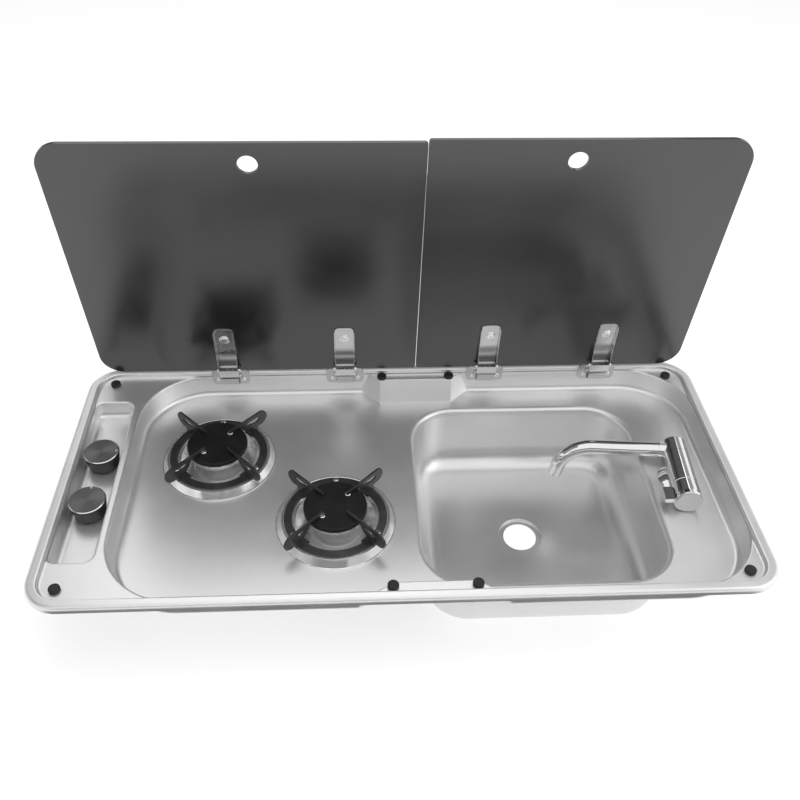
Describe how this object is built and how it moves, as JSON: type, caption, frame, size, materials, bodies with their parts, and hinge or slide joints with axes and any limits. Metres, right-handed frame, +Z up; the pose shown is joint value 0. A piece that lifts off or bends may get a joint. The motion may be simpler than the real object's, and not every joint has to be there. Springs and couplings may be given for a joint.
{
  "type": "hob and sink unit",
  "caption": "Built-in steel unit with a recessed gas hob, a round-cornered sink bowl, a folding tap and dark glass lids on friction hinges.",
  "frame": {"origin": "middle of the panel on the worktop plane, where the rim's seal rests", "axes": "+X along the long side towards the tap, +Y to the lids' hinge side, +Z up"},
  "size_m": [0.775, 0.365, 0.463],
  "materials": {
    "pressed_steel": "satin stainless steel",
    "bowl_steel": "satin stainless steel",
    "seal_rubber": "matt foam rubber",
    "pad_rubber": "matt black rubber",
    "tray_steel": "bright stainless steel",
    "burner_alloy": "cast aluminium",
    "crown_alloy": "turned aluminium",
    "cap_enamel": "satin black enamel",
    "support_enamel": "satin black enamel",
    "bright_screws": "bright zinc plate",
    "brass": "turned brass",
    "knob_black": "matt black",
    "knob_metal": "dark anodised",
    "pipe_steel": "zinc plated tube",
    "copper": "drawn copper tube",
    "tap_chrome": "polished chrome",
    "satin_chrome": "satin chrome",
    "smoked_glass": "dark smoked, polished",
    "hinge_steel": "polished stainless steel",
    "pin_steel": "bright steel",
    "cap_metal": "satin grey"
  },
  "bodies": {
    "unit": {"top_panel": "pressed_steel", "sink_bowl": "bowl_steel", "rim_gasket": "seal_rubber", "lid_pads": "pad_rubber", "rear_drip_tray": "tray_steel", "rear_burner_body": "burner_alloy", "rear_burner_crown": "crown_alloy", "rear_burner_cap": "cap_enamel", "rear_cap_screws": "bright_screws", "rear_pan_support": "support_enamel", "rear_support_screws": "bright_screws", "rear_thermocouple": "brass", "rear_jet": "brass", "front_drip_tray": "tray_steel", "front_burner_body": "burner_alloy", "front_burner_crown": "crown_alloy", "front_burner_cap": "cap_enamel", "front_cap_screws": "bright_screws", "front_pan_support": "support_enamel", "front_support_screws": "bright_screws", "front_thermocouple": "brass", "front_jet": "brass", "rear_gas_valve": "brass", "front_gas_valve": "brass", "gas_manifold": "pipe_steel", "gas_inlet": "copper", "rear_gas_tube": "copper", "front_gas_tube": "copper", "tap_rosette": "tap_chrome", "tap_body": "tap_chrome", "tap_shank": "brass", "tap_washer": "pad_rubber", "tap_nut": "brass", "tap_inlet_tail": "copper", "hinge_bases": "hinge_steel", "hinge_pivot_pins": "pin_steel", "hinge_base_screws": "bright_screws"},
    "left_lid": {"left_lid_glass": "smoked_glass", "left_hinge_straps": "hinge_steel", "left_cross_pins": "pin_steel", "left_strap_screws": "bright_screws", "left_glass_caps": "cap_metal"},
    "right_lid": {"right_lid_glass": "smoked_glass", "right_hinge_straps": "hinge_steel", "right_cross_pins": "pin_steel", "right_strap_screws": "bright_screws", "right_glass_caps": "cap_metal"},
    "rear_push": {"rear_push_rod": "bright_screws"},
    "rear_turn": {"rear_spindle": "bright_screws", "rear_knob": "knob_black", "rear_knob_disc": "knob_metal"},
    "front_push": {"front_push_rod": "bright_screws"},
    "front_turn": {"front_spindle": "bright_screws", "front_knob": "knob_black", "front_knob_disc": "knob_metal"},
    "spout": {"spout_collar": "tap_chrome", "tap_spout": "tap_chrome"},
    "handle": {"tap_handle": "tap_chrome", "handle_disc": "satin_chrome"}
  },
  "joints": [
    {"name": "left_lid_hinge", "type": "hinge", "parent": "unit", "child": "left_lid", "pos_m": [-0.13785, 0.168, 0.007], "axis": [-1, 0, 0], "range_deg": [-83.3, 6.7]},
    {"name": "right_lid_hinge", "type": "hinge", "parent": "unit", "child": "right_lid", "pos_m": [0.1925, 0.168, 0.007], "axis": [-1, 0, 0], "range_deg": [-84.1, 5.9]},
    {"name": "rear_knob_push", "type": "slide", "parent": "unit", "child": "rear_push", "axis": [0, 0, -1], "range_m": [0, 0.0025], "stiffness_N_per_m": 1500, "springref_m": -0.001},
    {"name": "rear_knob_turn", "type": "hinge", "parent": "rear_push", "child": "rear_turn", "pos_m": [-0.35, 0.0375, 0], "axis": [0, 0, 1], "range_deg": [0, 210]},
    {"name": "front_knob_push", "type": "slide", "parent": "unit", "child": "front_push", "axis": [0, 0, -1], "range_m": [0, 0.0025], "stiffness_N_per_m": 1500, "springref_m": -0.001},
    {"name": "front_knob_turn", "type": "hinge", "parent": "front_push", "child": "front_turn", "pos_m": [-0.35, -0.0375, 0], "axis": [0, 0, 1], "range_deg": [0, 210]},
    {"name": "spout_fold", "type": "hinge", "parent": "unit", "child": "spout", "pos_m": [0.3355, 0.043, -0.0095], "axis": [0.0837, 0.9965, 0], "range_deg": [0, 75]},
    {"name": "handle_turn", "type": "hinge", "parent": "unit", "child": "handle", "pos_m": [0.3355, 0.043, -0.0095], "axis": [0.0837, 0.9965, 0], "range_deg": [0, 60]}
  ]
}
